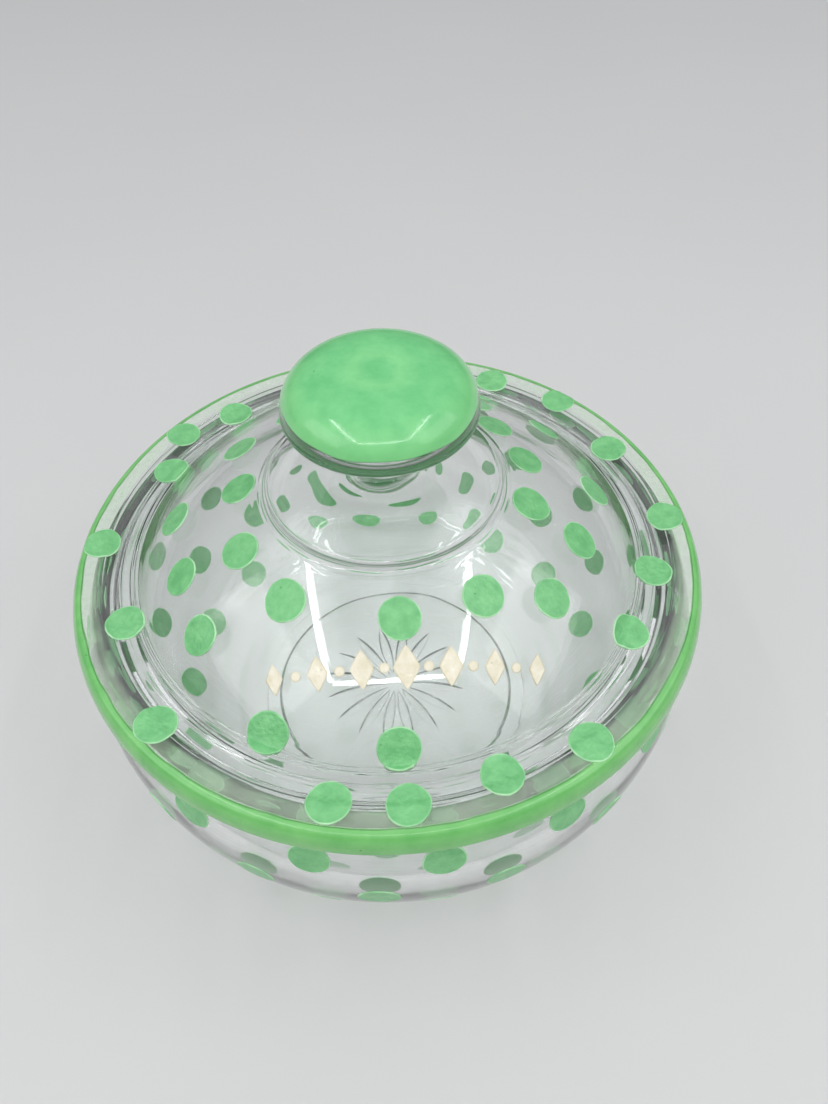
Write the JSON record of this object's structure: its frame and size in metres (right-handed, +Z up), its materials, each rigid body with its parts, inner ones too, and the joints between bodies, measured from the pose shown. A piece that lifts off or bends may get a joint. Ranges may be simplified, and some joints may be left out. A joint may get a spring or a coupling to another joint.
{
  "type": "powder jar",
  "caption": "Round clear-glass powder jar with a domed lift-off lid, a round knob, green enamel dots and edge, and a cream enamel ornament.",
  "frame": {"origin": "centre of the foot's underside, on the jar's axis", "axes": "+Z up along the jar's axis, -Y towards the side with the cream ornament, +X to that side's right"},
  "size_m": [0.1272, 0.1271, 0.101],
  "materials": {
    "bowl_glass": "polished pressed glass",
    "lid_glass": "polished pressed glass",
    "green_enamel": "fired enamel dots, slightly wrinkled",
    "band_enamel": "fired enamel, glossy",
    "knob_enamel": "fired enamel, glossy",
    "cream_enamel": "fired enamel, satin"
  },
  "bodies": {
    "bowl": {"bowl_glass": "bowl_glass", "bowl_dots_upper": "green_enamel", "bowl_dots_middle": "green_enamel", "bowl_dots_lower": "green_enamel", "bowl_dots_foot": "green_enamel"},
    "lid": {"lid_glass": "lid_glass", "rim_band_enamel": "band_enamel", "lid_dots_outer": "green_enamel", "lid_dots_middle": "green_enamel", "lid_dots_inner": "green_enamel", "lid_ornament": "cream_enamel", "knob_enamel": "knob_enamel"}
  },
  "joints": [
    {"name": "lid_lift", "type": "slide", "parent": "bowl", "child": "lid", "axis": [0, 0, 1], "range_m": [0, 0.06]}
  ]
}
